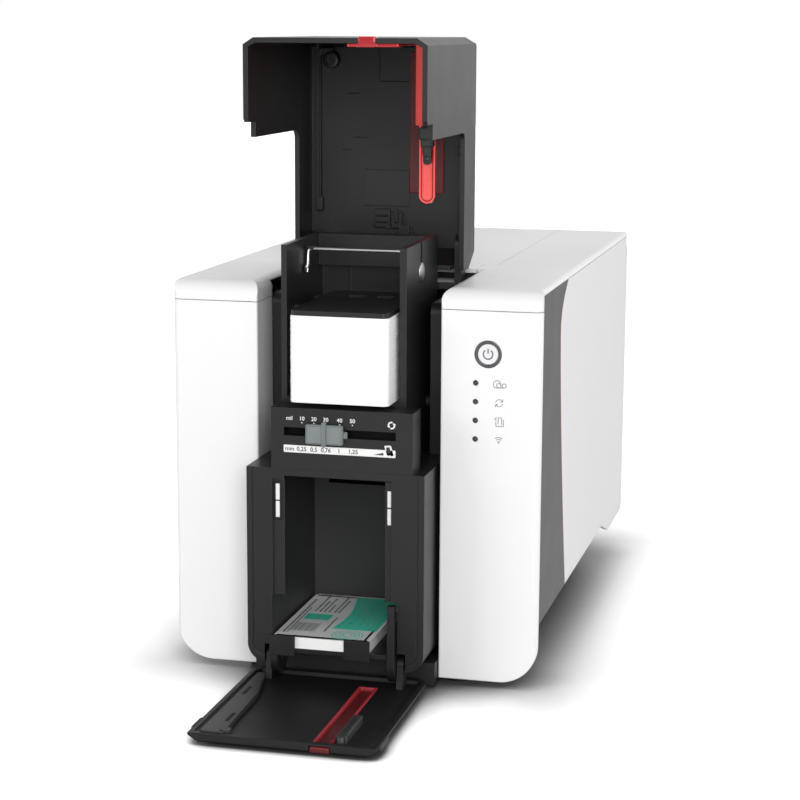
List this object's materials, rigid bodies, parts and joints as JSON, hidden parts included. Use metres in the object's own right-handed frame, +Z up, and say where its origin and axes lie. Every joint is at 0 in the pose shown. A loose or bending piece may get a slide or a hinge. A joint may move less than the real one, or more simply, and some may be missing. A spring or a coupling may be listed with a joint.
{
  "type": "id card printer",
  "caption": "Desktop plastic-card printer with a hinged feeder cover over a card stack, a drop-down output hopper door, a top lid over the ribbon bay, a thickness slider and a power button.",
  "frame": {"origin": "on the desk, at the middle of the printer's whole footprint with its hopper door down", "axes": "+X to the right seen from the front, +Y towards the rear, +Z up"},
  "size_m": [0.205, 0.469, 0.3487],
  "materials": {
    "white_shell": "satin",
    "black_plastic": "satin",
    "dark_plastic": "matte",
    "grey_accent": "satin",
    "accent_orange": "gloss",
    "red_window": "translucent gloss",
    "latch_grey": "satin",
    "steel": "satin",
    "aluminium": "satin",
    "motor_case": "satin",
    "brass": "satin",
    "case_metal": "satin",
    "rubber": "matte",
    "card_white": "satin",
    "card_print": "satin",
    "mark_white": "gloss",
    "slider_grey": "satin",
    "ribbon": "gloss",
    "circuit_board": "satin",
    "head_ceramic": "satin",
    "button_white": "satin",
    "ring_grey": "satin",
    "led_dark": "gloss"
  },
  "bodies": {
    "body": {"left_fascia": "white_shell", "right_fascia": "white_shell", "left_cap": "white_shell", "right_cap": "white_shell", "left_side_panel": "white_shell", "right_side_panel": "white_shell", "card_weight": "black_plastic", "hopper_housing": "black_plastic", "gauge_housing": "black_plastic", "feeder_tower": "black_plastic", "hopper_tray": "black_plastic", "hopper_liner": "black_plastic", "left_infill": "black_plastic", "right_infill": "black_plastic", "well_back": "black_plastic", "hinge_bracket": "black_plastic", "base_tray": "dark_plastic", "rear_panel": "dark_plastic", "rear_exit_slot": "dark_plastic", "power_inlet": "dark_plastic", "fan_frame": "dark_plastic", "left_accent": "grey_accent", "right_accent": "grey_accent", "accent_lines": "accent_orange", "hinge_pins": "steel", "frame_plates": "steel", "data_ports": "steel", "drive_motor": "motor_case", "power_supply": "case_metal", "rubber_feet": "rubber", "drive_belt": "rubber", "feeder_cards": "card_white", "output_cards": "card_print", "level_marks": "mark_white", "gauge_scale": "mark_white", "ribbon_film": "ribbon", "main_board": "circuit_board", "control_board": "circuit_board", "button_ring": "ring_grey", "status_leds": "led_dark"},
    "cover": {"feeder_cover": "black_plastic", "cover_window": "red_window", "cover_latch": "latch_grey"},
    "door": {"hopper_door": "black_plastic", "door_window": "red_window"},
    "lid": {"top_lid": "white_shell", "print_head": "head_ceramic", "head_heatsink": "aluminium"},
    "slider": {"gauge_slider": "slider_grey"},
    "bail": {"card_bail": "steel"},
    "button": {"power_button": "button_white"},
    "platen": {"platen_roller": "rubber"},
    "motor_rotor": {"motor_pulley": "brass"},
    "cleaner": {"cleaning_roller": "rubber"},
    "exit": {"exit_roller": "rubber"},
    "feed": {"feed_roller": "rubber"},
    "supply_spool": {"ribbon_supply": "ribbon"},
    "takeup_spool": {"ribbon_takeup": "ribbon"},
    "fan": {"fan_rotor": "dark_plastic"}
  },
  "joints": [
    {"name": "cover_hinge", "type": "hinge", "parent": "body", "child": "cover", "pos_m": [-0.003, -0.0316, 0.2328], "axis": [1, 0, 0], "range_deg": [0, 90]},
    {"name": "door_hinge", "type": "hinge", "parent": "body", "child": "door", "pos_m": [-0.003, -0.13175, 0.01675], "axis": [1, 0, 0], "range_deg": [-90, 0]},
    {"name": "lid_hinge", "type": "hinge", "parent": "body", "child": "lid", "pos_m": [-0.0235, 0.217, 0.2128], "axis": [1, 0, 0], "range_deg": [-80, 0]},
    {"name": "slider_slide", "type": "slide", "parent": "body", "child": "slider", "axis": [1, 0, 0], "range_m": [-0.0155, 0.031]},
    {"name": "bail_hinge", "type": "hinge", "parent": "body", "child": "bail", "pos_m": [-0.003, -0.087, 0.2235], "axis": [1, 0, 0], "range_deg": [0, 100]},
    {"name": "power_button_push", "type": "slide", "parent": "body", "child": "button", "axis": [0, 1, 0], "range_m": [0, 0.0012], "stiffness_N_per_m": 600, "springref_m": -0.001},
    {"name": "platen_spin", "type": "hinge", "parent": "body", "child": "platen", "pos_m": [-0.003, 0.068, 0.1476], "axis": [1, 0, 0], "continuous": true},
    {"name": "motor_spin", "type": "hinge", "parent": "body", "child": "motor_rotor", "pos_m": [-0.003, 0.095, 0.092], "axis": [1, 0, 0], "continuous": true},
    {"name": "cleaner_spin", "type": "hinge", "parent": "body", "child": "cleaner", "pos_m": [-0.003, 0.008, 0.1496], "axis": [1, 0, 0], "continuous": true},
    {"name": "exit_spin", "type": "hinge", "parent": "body", "child": "exit", "pos_m": [-0.003, 0.13, 0.1496], "axis": [1, 0, 0], "continuous": true},
    {"name": "feed_spin", "type": "hinge", "parent": "body", "child": "feed", "pos_m": [-0.003, -0.07, 0.1496], "axis": [1, 0, 0], "continuous": true},
    {"name": "supply_spin", "type": "hinge", "parent": "body", "child": "supply_spool", "pos_m": [-0.003, 0.032, 0.19], "axis": [1, 0, 0], "continuous": true},
    {"name": "takeup_spin", "type": "hinge", "parent": "body", "child": "takeup_spool", "pos_m": [-0.003, 0.104, 0.19], "axis": [1, 0, 0], "continuous": true},
    {"name": "fan_spin", "type": "hinge", "parent": "body", "child": "fan", "pos_m": [-0.0625, 0.212, 0.134], "axis": [0, 1, 0], "continuous": true}
  ],
  "couplings": [
    {"joint": "motor_spin", "follows": "platen_spin", "ratio": 2},
    {"joint": "cleaner_spin", "follows": "platen_spin", "ratio": 1.2},
    {"joint": "exit_spin", "follows": "platen_spin", "ratio": 1.2}
  ]
}
